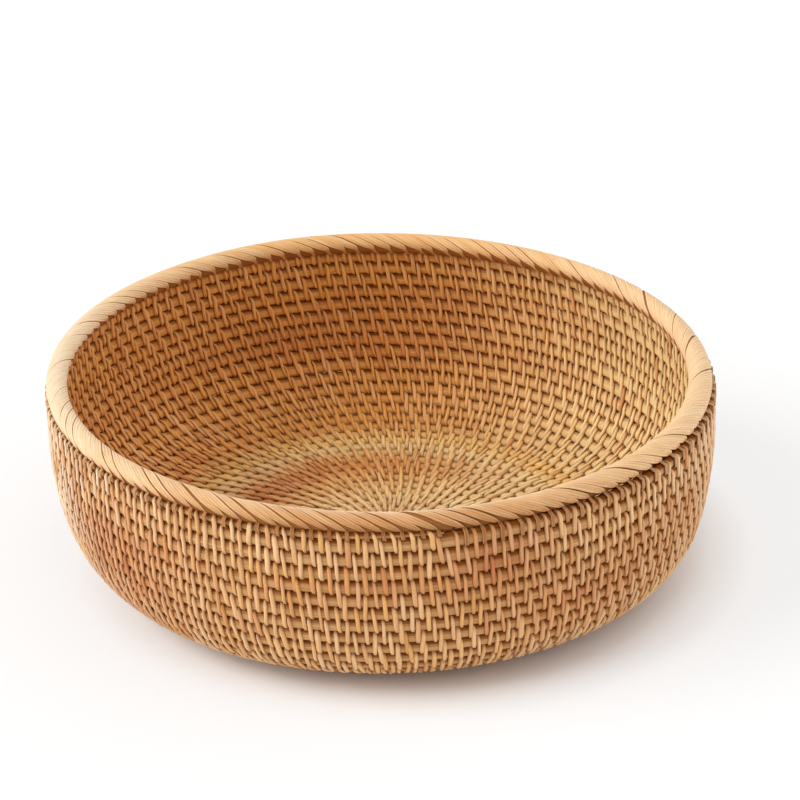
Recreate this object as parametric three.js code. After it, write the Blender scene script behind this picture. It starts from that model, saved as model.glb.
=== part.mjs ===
// Round coiled rattan fruit basket.
// One long spiral of cane, pieced from several lengths with scarf joints, runs from the centre of the
// floor up the side wall. A pole bent into a ring and bound with five slanting strips makes the rim.
// Millimetres, +Z up, origin on the table under the centre of the floor.
import * as THREE from 'three';

// Driving dimensions of the coil
const ROW_PITCH = 6.43;
const ROW_GAP = 0.55;
const WALL_THICKNESS = 6.0;
const CANE_FLAT = 3.3;
const CANE_COUNT = 8;
const COIL_START_TURN = 0.5;
const COIL_END_AZIMUTH = -78;
const COIL_TIP_HEIGHT = 1.1;
const STEPS_PER_TURN = 24;

// Driving dimensions of the bowl's half section, measured on the middle of the wall. Three arcs
// lift it by the given degrees and the side's arc brings it upright.
const FLOOR_RADIUS = 97.5;
const HEEL = { radius: 61, sweep: 28 };
const CORNER = { radius: 34, sweep: 38 };
const BELLY = { radius: 62, sweep: 10 };
const SIDE_RADIUS = 122;
const UPRIGHT = 90;
const WALL_HEIGHT = 19.3;

// Driving dimensions of the rim
const POLE_WIDTH = 8.0;
const POLE_HEIGHT = 7.2;
const POLE_INSET = 3.4;
const POLE_STEPS = 72;
const STRIP_COUNT = 5;
const STRIP_WRAPS = 24;
const STRIP_THICKNESS = 0.7;
const STRIP_SPACING = 0.6;
const STRIP_CLEARANCE = 0.35;
const RIM_SEAT_CLEARANCE = 0.3;
const RIM_LIFT = 1.8;
const RIM_HIGH_AZIMUTH = 192;
const HEXAGON_SIDES = 6;

// Driving dimensions of the scarf joints
const SCARF_TIP = 0.9;
const SCARF_SHOULDER = 1.5;
const JOINT_CLEARANCE = 0.35;

// Least gap that a wound piece keeps to itself
const LEAST_SELF_GAP = 0.4;

const FINISHES = {
  cane: { color: '#b98f60', roughness: 0.7 },
  pole: { color: '#c79d6b', roughness: 0.6 },
  strip: { color: '#dcb682', roughness: 0.5 },
};

const radians = THREE.MathUtils.degToRad;

// The half section is the flat floor, four arcs that turn it upright and a short upright wall.
// Each stretch has its length and the slope, 0 on the floor and 90 degrees upright, at its start.
function sectionStretches() {
  const side = { radius: SIDE_RADIUS, sweep: UPRIGHT - HEEL.sweep - CORNER.sweep - BELLY.sweep };
  const arcs = [HEEL, CORNER, BELLY, side];
  const stretches = [{ length: FLOOR_RADIUS, slope: 0, sweep: 0, radius: 0 }];
  let slope = 0;
  for (const arc of arcs) {
    const sweep = radians(arc.sweep);
    stretches.push({ length: arc.radius * sweep, slope, sweep, radius: arc.radius });
    slope += sweep;
  }
  stretches.push({ length: WALL_HEIGHT, slope, sweep: 0, radius: 0 });
  return stretches;
}

const STRETCHES = sectionStretches();
const SECTION_LENGTH = STRETCHES.reduce((sum, stretch) => sum + stretch.length, 0);

// Point of the half section at a distance from the axis along it: radius, height and slope
function sectionPoint(distance) {
  let left = distance;
  let radius = 0;
  let height = WALL_THICKNESS / 2;
  let slope = 0;
  STRETCHES.forEach((stretch, index) => {
    const last = index === STRETCHES.length - 1;
    const run = last ? left : Math.min(left, stretch.length);
    if (run <= 0) {
      return;
    }
    const turn = stretch.radius > 0 ? run / stretch.radius : 0;
    const end = stretch.slope + turn;
    if (turn > 0) {
      radius += stretch.radius * (Math.sin(end) - Math.sin(stretch.slope));
      height += stretch.radius * (Math.cos(stretch.slope) - Math.cos(end));
    } else {
      radius += run * Math.cos(stretch.slope);
      height += run * Math.sin(stretch.slope);
    }
    slope = end;
    left -= run;
  });
  return { radius, height, slope };
}

// Part of a hexagon, with flats above and below, that lies between two heights.
// The six points run once round it.
function hexagonBetween(halfWidth, halfFlat, halfHeight, low, high) {
  const widthAt = (y) => halfWidth - (halfWidth - halfFlat) * Math.abs(y) / halfHeight;
  const middle = low < 0 && high > 0 ? 0 : (low + high) / 2;
  const right = [low, middle, high].map((y) => ({ x: widthAt(y), y }));
  const left = [high, middle, low].map((y) => ({ x: -widthAt(y), y }));
  return right.concat(left);
}

// Closed body carried through a row of six-point or four-point rings, with a flat cap at each end
function bodyThrough(rings) {
  const count = rings[0].length;
  const positions = [];
  rings.forEach((ring) => ring.forEach((point) => positions.push(point.x, point.y, point.z)));
  const index = [];
  for (let ring = 0; ring + 1 < rings.length; ring += 1) {
    for (let side = 0; side < count; side += 1) {
      const a = ring * count + side;
      const b = ring * count + (side + 1) % count;
      index.push(a, b, b + count);
      index.push(a, b + count, a + count);
    }
  }
  const tail = (rings.length - 1) * count;
  for (let side = 1; side + 1 < count; side += 1) {
    index.push(0, side + 1, side);
    index.push(tail, tail + side, tail + side + 1);
  }
  const geometry = new THREE.BufferGeometry();
  geometry.setAttribute('position', new THREE.Float32BufferAttribute(positions, 3));
  geometry.setIndex(index);
  geometry.computeVertexNormals();
  return geometry;
}

function pointAt(radius, azimuth, height) {
  return new THREE.Vector3(radius * Math.cos(azimuth), radius * Math.sin(azimuth), height);
}

// The coil is counted in turns from the axis. The last full row ends under the rim, and one more
// turn, thinned to a tip, fills the wedge between that row and the rim. The rim leans a little with
// the rise of the rows, so it and the top of the wall are highest on one side.
const FULL_TURNS = (SECTION_LENGTH - ROW_PITCH / 2) / ROW_PITCH;
const ROW_HEIGHT = ROW_PITCH - ROW_GAP;
const FIRST_STEP = Math.ceil((COIL_START_TURN - FULL_TURNS) * STEPS_PER_TURN);

function stepAzimuth(step) {
  return radians(COIL_END_AZIMUTH) + 2 * Math.PI * step / STEPS_PER_TURN;
}

// Bottom and top of the coil at a whole step, measured along the half section
function rowSpan(step) {
  const turns = FULL_TURNS + step / STEPS_PER_TURN;
  const bottom = ROW_PITCH * (turns - 0.5) + ROW_GAP / 2;
  const lift = RIM_LIFT * Math.cos(stepAzimuth(step) - radians(RIM_HIGH_AZIMUTH));
  return { bottom, top: Math.min(bottom + ROW_HEIGHT, SECTION_LENGTH + lift - ROW_GAP / 2) };
}

function tipStep() {
  let step = STEPS_PER_TURN;
  while (rowSpan(step).top - rowSpan(step).bottom < COIL_TIP_HEIGHT) {
    step -= 1;
  }
  return step;
}

const LAST_STEP = tipStep();

// Ring of the coil at a whole step, cut to the part of its thickness between two levels.
// Level 0 is the face towards the inside of the bowl and level 1 the face towards the outside.
function coilRing(step, low, high) {
  const { bottom, top } = rowSpan(step);
  const halfRow = (top - bottom) / 2;
  const halfFlat = (CANE_FLAT / 2) * (halfRow / (ROW_HEIGHT / 2));
  const place = sectionPoint((top + bottom) / 2);
  const azimuth = stepAzimuth(step);
  const levels = [low, high].map((level) => (level - 0.5) * WALL_THICKNESS);
  const outline = hexagonBetween(halfRow, halfFlat, WALL_THICKNESS / 2, levels[0], levels[1]);
  return outline.map(({ x, y }) => pointAt(
    place.radius + x * Math.cos(place.slope) + y * Math.sin(place.slope),
    azimuth,
    place.height + x * Math.sin(place.slope) - y * Math.cos(place.slope),
  ));
}

// Ring anywhere along the coil, on the straight run between two whole steps, so that rows side by
// side stay parallel
function coilRingBetween(step, low, high) {
  const before = Math.floor(step);
  const share = step - before;
  const start = coilRing(before, low, high);
  if (share === 0) {
    return start;
  }
  const end = coilRing(before + 1, low, high);
  return start.map((point, index) => point.lerp(end[index], share));
}

// Length of the coil's straight run from one whole step to the next
function stepLength(step) {
  const here = sectionPoint(ROW_PITCH * (FULL_TURNS + step / STEPS_PER_TURN));
  return here.radius * 2 * Math.PI / STEPS_PER_TURN;
}

// Whole steps at which one length of cane is scarfed to the next. The canes are equally long.
function jointSteps() {
  const reached = [0];
  for (let step = FIRST_STEP; step < LAST_STEP; step += 1) {
    reached.push(reached[reached.length - 1] + stepLength(step));
  }
  const caneLength = reached[reached.length - 1] / CANE_COUNT;
  const joints = [];
  for (let cane = 1; cane < CANE_COUNT; cane += 1) {
    joints.push(FIRST_STEP + reached.findIndex((length) => length >= cane * caneLength));
  }
  return joints;
}

// A scarf runs over one step. The cane that ends there keeps the outer part of the thickness and
// the cane that starts there the inner part. Each has a blunt tip against the other's shoulder.
const SCARF_START = SCARF_TIP / WALL_THICKNESS;
const SCARF_SLIT = JOINT_CLEARANCE / WALL_THICKNESS;

function coilCane(firstJoint, lastJoint) {
  const rings = [];
  let step = FIRST_STEP;
  if (firstJoint !== null) {
    const unit = 1 / stepLength(firstJoint);
    rings.push(coilRingBetween(firstJoint + JOINT_CLEARANCE * unit, 0, SCARF_START));
    rings.push(coilRing(firstJoint + 1, 0, 1 - SCARF_START - SCARF_SLIT));
    rings.push(coilRingBetween(firstJoint + 1 + SCARF_SHOULDER * unit, 0, 1));
    step = firstJoint + 2;
  }
  const stop = lastJoint === null ? LAST_STEP : lastJoint - 1;
  for (; step <= stop; step += 1) {
    rings.push(coilRing(step, 0, 1));
  }
  if (lastJoint !== null) {
    const unit = 1 / stepLength(lastJoint);
    rings.push(coilRingBetween(lastJoint - SCARF_SHOULDER * unit, 0, 1));
    rings.push(coilRing(lastJoint, SCARF_START + SCARF_SLIT, 1));
    rings.push(coilRingBetween(lastJoint + 1 - JOINT_CLEARANCE * unit, 1 - SCARF_START, 1));
  }
  return bodyThrough(rings);
}

// The rim pole and its strips share one hexagon with flats above and below, let out by an offset
function rimCorner(corner, offset) {
  const halfWidth = POLE_WIDTH / 2;
  const halfHeight = POLE_HEIGHT / 2;
  const slant = Math.hypot(halfHeight, halfWidth / 2);
  const turned = ((corner % HEXAGON_SIDES) + HEXAGON_SIDES) % HEXAGON_SIDES;
  if (turned % 3 === 0) {
    const reach = halfWidth + offset * slant / halfHeight;
    return { x: turned === 0 ? reach : -reach, y: 0 };
  }
  const x = halfWidth / 2 + offset * (slant - halfWidth / 2) / halfHeight;
  const y = halfHeight + offset;
  return { x: turned === 1 || turned === 5 ? x : -x, y: turned < 3 ? y : -y };
}

const STRIP_INNER = STRIP_CLEARANCE;
const STRIP_OUTER = STRIP_CLEARANCE + STRIP_THICKNESS;
const RIM_RADIUS = sectionPoint(SECTION_LENGTH).radius - POLE_INSET;

// Height of the rim's centre: its lowest strip lies on the top row, where that row's straight runs
// come nearest to the axis
function rimHeight() {
  const apex = sectionPoint(SECTION_LENGTH - ROW_GAP / 2);
  const corner = rimCorner(5, STRIP_OUTER);
  const apexRadius = apex.radius * Math.cos(Math.PI / STEPS_PER_TURN);
  const inward = Math.max(0, apexRadius - RIM_RADIUS - corner.x);
  const shoulder = (ROW_HEIGHT - CANE_FLAT) / WALL_THICKNESS;
  return apex.height - inward * shoulder + RIM_SEAT_CLEARANCE - corner.y;
}

// Ring of the pole at an azimuth, cut to the part of its height between two levels from 0 to 1
function poleRing(azimuth, low, high) {
  const levels = [low, high].map((level) => (level - 0.5) * POLE_HEIGHT);
  const outline = hexagonBetween(POLE_WIDTH / 2, POLE_WIDTH / 4, POLE_HEIGHT / 2, ...levels);
  return outline.map(({ x, y }) => pointAt(RIM_RADIUS - x, azimuth, y));
}

// The pole's two ends overlap in a scarf over two of its steps, where the coil ends
function rimPole() {
  const tip = SCARF_TIP / POLE_HEIGHT;
  const slit = JOINT_CLEARANCE / POLE_HEIGHT;
  const clear = JOINT_CLEARANCE / RIM_RADIUS;
  const shoulder = SCARF_SHOULDER / RIM_RADIUS;
  const stepAngle = 2 * Math.PI / POLE_STEPS;
  const start = radians(COIL_END_AZIMUTH);
  const scarfEnd = start + 2 * stepAngle;
  const rings = [
    poleRing(start + clear, 1 - tip, 1),
    poleRing(start + stepAngle, (1 + slit) / 2, 1),
    poleRing(scarfEnd, tip + slit, 1),
    poleRing(scarfEnd + shoulder, 0, 1),
  ];
  for (let step = 3; step < POLE_STEPS; step += 1) {
    rings.push(poleRing(start + step * stepAngle, 0, 1));
  }
  const around = start + 2 * Math.PI;
  rings.push(poleRing(around - shoulder, 0, 1));
  rings.push(poleRing(around, 0, 1 - tip - slit));
  rings.push(poleRing(around + stepAngle, 0, (1 - slit) / 2));
  rings.push(poleRing(around + 2 * stepAngle - clear, 0, tip));
  return bodyThrough(rings);
}

// One strip winds round the pole from corner to corner of its hexagon. Seen from outside it falls
// to the right. It is a flat band, four points to a ring.
const WRAP_ANGLE = 2 * Math.PI / STRIP_WRAPS;
const STRIP_ANGLE = WRAP_ANGLE / STRIP_COUNT;

function stripRings() {
  const half = (STRIP_ANGLE - STRIP_SPACING / (RIM_RADIUS - POLE_WIDTH / 2)) / 2;
  const rings = [];
  for (let corner = 0; corner < STRIP_WRAPS * HEXAGON_SIDES; corner += 1) {
    const azimuth = -corner * WRAP_ANGLE / HEXAGON_SIDES;
    const inner = rimCorner(corner, STRIP_INNER);
    const outer = rimCorner(corner, STRIP_OUTER);
    rings.push([
      pointAt(RIM_RADIUS + inner.x, azimuth + half, inner.y),
      pointAt(RIM_RADIUS + inner.x, azimuth - half, inner.y),
      pointAt(RIM_RADIUS + outer.x, azimuth - half, outer.y),
      pointAt(RIM_RADIUS + outer.x, azimuth + half, outer.y),
    ]);
  }
  return rings;
}

// Least distance between the points of one row of rings and those of another
function leastGap(rings, others) {
  let least = Infinity;
  for (const ring of rings) {
    for (const point of ring) {
      for (const other of others) {
        for (const otherPoint of other) {
          least = Math.min(least, point.distanceTo(otherPoint));
        }
      }
    }
  }
  return least;
}

// Each ring of the coil is measured against the ring one turn on, in the same upright plane
function coilSelfGap() {
  let least = Infinity;
  for (let step = FIRST_STEP; step + STEPS_PER_TURN <= LAST_STEP; step += 1) {
    const here = coilRing(step, 0, 1);
    const above = coilRing(step + STEPS_PER_TURN, 0, 1);
    least = Math.min(least, leastGap([here], [above]));
  }
  return least;
}

// A strip is measured against its own next wrap
function stripSelfGap() {
  const rings = stripRings();
  const wrap = rings.slice(0, HEXAGON_SIDES);
  const next = rings.slice(HEXAGON_SIDES, 2 * HEXAGON_SIDES);
  return leastGap(wrap.slice(0, 3), next.slice(3));
}

function report(name, gap) {
  const verdict = gap > LEAST_SELF_GAP ? 'clear' : 'too close';
  console.log(`${name}: least gap to itself ${gap.toFixed(2)} mm, ${verdict}`);
}

function mesh(name, geometry, finish) {
  const material = new THREE.MeshStandardMaterial({ ...finish, metalness: 0 });
  const piece = new THREE.Mesh(geometry, material);
  piece.name = name;
  return piece;
}

function body() {
  const group = new THREE.Group();
  const joints = jointSteps();
  const starts = [null, ...joints];
  const ends = [...joints, null];
  starts.forEach((start, index) => {
    group.add(mesh(`coil_cane_${index + 1}`, coilCane(start, ends[index]), FINISHES.cane));
  });
  return group;
}

function rim() {
  const group = new THREE.Group();
  const high = radians(RIM_HIGH_AZIMUTH);
  const hinge = new THREE.Vector3(Math.sin(high), -Math.cos(high), 0);
  const wallRadius = sectionPoint(SECTION_LENGTH).radius;
  group.quaternion.setFromAxisAngle(hinge, Math.atan(RIM_LIFT / wallRadius));
  group.position.z = rimHeight();
  group.add(mesh('rim_pole', rimPole(), FINISHES.pole));
  const strip = bodyThrough(stripRings());
  for (let count = 0; count < STRIP_COUNT; count += 1) {
    const piece = mesh(`rim_strip_${count + 1}`, strip, FINISHES.strip);
    piece.rotation.z = radians(COIL_END_AZIMUTH) + count * STRIP_ANGLE;
    group.add(piece);
  }
  return group;
}

report('coil', coilSelfGap());
report('rim strip', stripSelfGap());

const basket = new THREE.Group();
basket.add(body());
basket.add(rim());

export default basket;
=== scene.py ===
"""Round coiled rattan fruit basket, dressed round the packed frame.

Laid out as a Blender add-on and run as a script. Sizes and colours are properties, each group of like
pieces has an operator, and a panel in the 3D view's sidebar lists them. Lengths are metres.
"""
import math

import bpy
import numpy as np
from bpy.props import FloatProperty, FloatVectorProperty, IntProperty, PointerProperty
from bpy.types import Operator, Panel, PropertyGroup
from mathutils import Matrix, Vector


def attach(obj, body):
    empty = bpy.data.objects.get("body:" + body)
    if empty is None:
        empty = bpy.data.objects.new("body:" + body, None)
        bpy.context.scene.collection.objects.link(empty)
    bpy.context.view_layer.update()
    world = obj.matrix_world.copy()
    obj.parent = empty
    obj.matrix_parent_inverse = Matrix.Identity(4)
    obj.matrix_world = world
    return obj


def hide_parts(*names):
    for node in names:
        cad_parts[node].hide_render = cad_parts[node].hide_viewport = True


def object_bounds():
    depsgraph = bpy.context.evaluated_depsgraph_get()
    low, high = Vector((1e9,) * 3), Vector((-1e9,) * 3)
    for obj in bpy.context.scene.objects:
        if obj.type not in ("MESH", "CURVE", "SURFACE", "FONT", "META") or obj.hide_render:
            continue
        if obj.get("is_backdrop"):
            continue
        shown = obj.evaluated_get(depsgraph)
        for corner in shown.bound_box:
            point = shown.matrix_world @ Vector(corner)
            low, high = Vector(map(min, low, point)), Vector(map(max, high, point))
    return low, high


bl_info = {
    "name": "Rattan fruit basket",
    "version": (1, 0, 0),
    "blender": (4, 5, 0),
    "location": "3D View > Sidebar > Basket",
    "description": "Coiled and bound rattan bowl with a wrapped pole rim",
    "category": "Add Mesh",
}

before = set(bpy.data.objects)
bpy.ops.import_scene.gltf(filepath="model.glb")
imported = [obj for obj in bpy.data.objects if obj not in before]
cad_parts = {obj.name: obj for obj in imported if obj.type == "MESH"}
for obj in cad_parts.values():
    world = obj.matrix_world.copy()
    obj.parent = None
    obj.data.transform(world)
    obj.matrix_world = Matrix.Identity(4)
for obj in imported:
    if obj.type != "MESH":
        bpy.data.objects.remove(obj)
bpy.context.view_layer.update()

FULL_TURN = 2 * math.pi
TIP_EASE = 0.02  # turns in which the last row's top comes to the rim


def number(name, description, default, **looks):
    return FloatProperty(name=name, description=description, default=default, **looks)


def length(name, description, default):
    return number(name, description, default, unit="LENGTH", precision=5)


def angle(name, description, degrees):
    return number(name, description, math.radians(degrees), subtype="ANGLE")


def amount(name, description, default):
    return number(name, description, default, precision=3)


def colour(name, description, default):
    looks = {"subtype": "COLOR", "size": 3, "min": 0, "max": 1}
    return FloatVectorProperty(name=name, description=description, default=default, **looks)


class BowlSizes(PropertyGroup):
    """Half section of the bowl and the spiral of rows that fills it"""

    row_pitch: length("Row pitch", "Between the middles of two rows", 0.00643)
    wall_thickness: length("Wall thickness", "Over the strips on both faces", 0.006)
    floor_radius: length("Floor radius", "Radius of the flat floor", 0.0975)
    heel_radius: length("Heel radius", "Radius of the first bend, beside the floor", 0.061)
    heel_sweep: angle("Heel sweep", "Turn of the first bend", 28)
    corner_radius: length("Corner radius", "Radius of the tightest bend", 0.034)
    corner_sweep: angle("Corner sweep", "Turn of the tightest bend", 38)
    belly_radius: length("Belly radius", "Radius of the bend above the corner", 0.062)
    belly_sweep: angle("Belly sweep", "Turn of the bend above the corner", 10)
    side_radius: length("Side radius", "Radius of the side, which ends upright", 0.122)
    wall_height: length("Wall height", "Upright part of the side, under the rim", 0.0204)
    coil_end: angle("Coil end", "Azimuth where the last full row meets the rim", -78)
    coil_start: amount("Coil start", "Turns from the axis to the start of the coil", 0.5)
    rim_lift: length("Rim lift", "Rise of the leaning rim on its high side", 0.0018)
    rim_high: angle("Rim high side", "Azimuth of the rim's high side", 192)
    row_dip: length("Row dip", "Drop of the rows on their low side", 0.0023)
    row_low: angle("Row low side", "Azimuth where the rows lie lowest", -66)
    row_rise: length("Row rise", "Rise of the top rows beside the coil's end", 0.0021)
    rise_side: angle("Rise side", "Azimuth of the middle of that rise", -57.2958)
    rise_spread: angle("Rise spread", "Half of the angle across that rise", 26.929)
    rise_start: length("Rise start", "Distance at which that rise begins", 0.185)
    rise_ease: length("Rise ease", "Distance in which it grows to its full height", 0.02)
    swell: length("Swell", "How far the foot of the side swells out, where it is upright", 0.0046)
    swell_side: angle("Swell side", "Azimuth of the swelling", -28)
    swell_middle: length("Swell middle", "Distance of the swelling's middle", 0.128)
    swell_spread: length("Swell spread", "Half of its extent up the side", 0.027)
    sway: length("Row sway", "Wander of the rows up and down", 0.00030)
    bulge: length("Bulge", "Wander of the wall in and out", 0.0006)


class CaneSizes(PropertyGroup):
    """The foundation canes that the coil is made of"""

    gap: length("Row gap", "Space between one row's cane and the next", 0.00010)
    thickness: length("Thickness", "Cane through the wall", 0.0049)
    squareness: amount("Squareness", "2 is a round cane, higher is squarer", 2.7)
    overhang: amount("Overhang", "Extra thickness of a cane at its foot", 0.10)
    scarf_length: length("Scarf length", "Overlap of one cane with the next", 0.030)


class BindingSizes(PropertyGroup):
    """The narrow strip that sews each row to the one below"""

    width: length("Strip width", "Width of the binding strip", 0.00212)
    thickness: length("Strip thickness", "Crown of the binding strip", 0.00095)
    stitches: amount("Stitches", "Stitches in one turn of the wall", 127.4)
    even_radius: length("Even radius", "Radius beyond which no stitches are added", 0.120)
    inner_spacing: length("Inner spacing", "Spacing of the stitches at the middle", 0.0036)
    reach: length("Reach", "From the middle of the wall to the strip's back", 0.00265)
    lag: amount("Lag", "How far a stitch stands behind the one under it, in spacings", 0.40)
    pull: amount("Pull", "How strongly a stitch keeps beside the one under it", 0.30)
    unevenness: amount("Unevenness", "Scatter of the stitches, in spacings", 0.06)
    slant: amount("Slant", "Lean of a stitch on the outside, in spacings", 0.18)
    strip_stitches: IntProperty(name="Strip", description="Stitches in one strip", default=85, min=10)


class RimSizes(PropertyGroup):
    """The pole that makes the rim and the strips wound round it"""

    radius: length("Rim radius", "Radius of the pole's middle", 0.1450)
    height: length("Rim height", "Height of the pole's middle above the table", 0.09004)
    offset: length("Rim offset", "Shift of the rim along X from the bowl's axis", -0.0013)
    width: length("Rim width", "Half of the rim's width over the strips", 0.00474)
    depth: length("Rim depth", "Half of the rim's depth over the strips", 0.00438)
    strip_thickness: length("Strip thickness", "Crown of a rim strip", 0.00042)
    strands: IntProperty(name="Strands", description="Strips wound side by side", default=5, min=1)
    tie_share: amount("Tie width", "Width of a tie as a share of the spacing", 0.24)
    tie_reach: length("Tie reach", "From the middle of the wall to a tie", 0.0030)
    seat: length("Seat", "From the pole's middle down to the top of the wall", 0.0035)
    outer_foot: angle("Outer foot", "Where a strip is narrow, round the pole from its outer side", -31)
    inner_foot: angle("Inner foot", "The same on the inner side", 201)
    inner_seat: angle("Inner seat", "Where a narrowed strip comes up from the wall to the pole", 245)
    tie_advance: amount("Tie advance", "Spacings that a strip moves on between its feet", 0.35)
    keel: amount("Keel", "How much deeper the pole is below its middle than above it", 1.35)
    spread: length("Spread", "Reach of the strips over the wall at the right", 0.0014)
    slack: amount("Slack", "How much narrower the strips are at the front, in spacings", 0.12)
    taper: angle("Taper", "Angle round the pole in which a strip widens from its foot", 32)
    front_taper: angle("Front taper", "Added to that at the front, on the outer side", 30)


class Finishes(PropertyGroup):
    """Colours of the rattan, as linear values"""

    # Cream is a pale strip's own tone, laid on strip crowns as a painted highlight
    cream: colour("Cream", "Worn crown of a binding strip", (0.95, 0.72, 0.46))
    # Ivory is a painted highlight on the crowns of the palest strips, mostly on the lit sides
    ivory: colour("Ivory", "Crown of a bleached strip", (0.95, 0.84, 0.68))
    straw: colour("Straw", "Pale binding strip", (0.88, 0.56, 0.28))
    golden: colour("Golden", "Ripe binding strip", (0.80, 0.41, 0.12))
    # Wheat is painted light on the inside's lit right side, and the own tone of the floor's pale parts
    wheat: colour("Wheat", "Bleached strip inside the bowl", (0.95, 0.76, 0.38))
    gilt: colour("Gilt", "Yellow ring at the floor's edge", (0.95, 0.60, 0.20))
    russet: colour("Russet", "Red-brown stain", (0.58, 0.20, 0.07))
    # Amber is the inner face's own deeper tone and also painted shade: it is taken off where the light
    # falls
    amber: colour("Amber", "Rattan on the inside of the bowl", (0.84, 0.38, 0.080))
    cane: colour("Cane", "Peeled cane of the coil", (0.56, 0.31, 0.115))
    # Dark fibre is grain; the same colour in the gaps, at strip edges and under rows is painted shade
    dark_fibre_and_shade: colour("Dust", "Dark fibre and dirt in the gaps", (0.22, 0.058, 0.006))
    pole: colour("Pole", "Rim pole under its strips", (0.42, 0.18, 0.05))
    floor: colour("Floor", "Studio floor", (0.93, 0.925, 0.92))


class StudioSizes(PropertyGroup):
    """Camera and lights"""

    lens: amount("Lens", "Focal length in millimetres on a 36 mm sensor", 145.46)
    distance: length("Distance", "From the camera to its target", 1.47479)
    azimuth: angle("Azimuth", "Side that the camera stands on, -90 at the front", -90.104)
    elevation: angle("Elevation", "Its height above the horizon", 26.477)
    roll: angle("Roll", "Turn of the camera about its line of sight", -1.128)
    target_right: length("Target right", "From the axis right to where the camera looks", 0.00869)
    target_height: length("Target height", "From the table up to where the camera looks", 0.07447)
    key: amount("Key", "Strength of the soft light from the left", 2.28)
    key_azimuth: angle("Key azimuth", "Side of the key light", -168)
    key_elevation: angle("Key elevation", "Its height above the horizon", 33)
    key_spread: angle("Key spread", "Angle across the key light", 45)
    fill: amount("Fill", "Strength of the soft light from the right", 1.38)
    fill_azimuth: angle("Fill azimuth", "Side of the fill light", -6)
    fill_elevation: angle("Fill elevation", "Its height above the horizon", 40)
    fill_spread: angle("Fill spread", "Angle across the fill light", 110)
    sky: amount("Sky", "Strength of the even light from all round", 0.50)
    veil: amount("Veil", "Share of white that the floor shows away from the bowl", 0.60)
    veil_shift: length("Veil shift", "From the bowl's axis right to the veil's middle", 0.014)
    veil_start: length("Veil start", "Distance from the veil's middle at which it begins", 0.128)
    veil_reach: length("Veil reach", "Distance in which the veil grows to its full share", 0.030)


class Wander:
    """A slow uneven drift over the bowl, as a hand-made thing has.

    The sum over a few waves k of h sin(k azimuth + rate distance + phase), eased to nothing at the
    axis, with heights, rates and phases drawn from a seed.
    """

    def __init__(self, seed, height, waves=(2, 3, 5, 8, 13)):
        draw = np.random.default_rng(seed)
        heights = height * draw.uniform(0.5, 1.1, len(waves)) / np.sqrt(waves)
        rates = draw.uniform(-50, 50, len(waves))
        phases = draw.uniform(0, FULL_TURN, len(waves))
        self.waves = tuple(zip(waves, heights, rates, phases))
        self.ease = 0.05

    def __call__(self, azimuth, distance):
        drift = 0
        for wave, height, rate, phase in self.waves:
            drift = drift + height * np.sin(wave * azimuth + rate * distance + phase)
        return drift * held(distance / self.ease)


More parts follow.
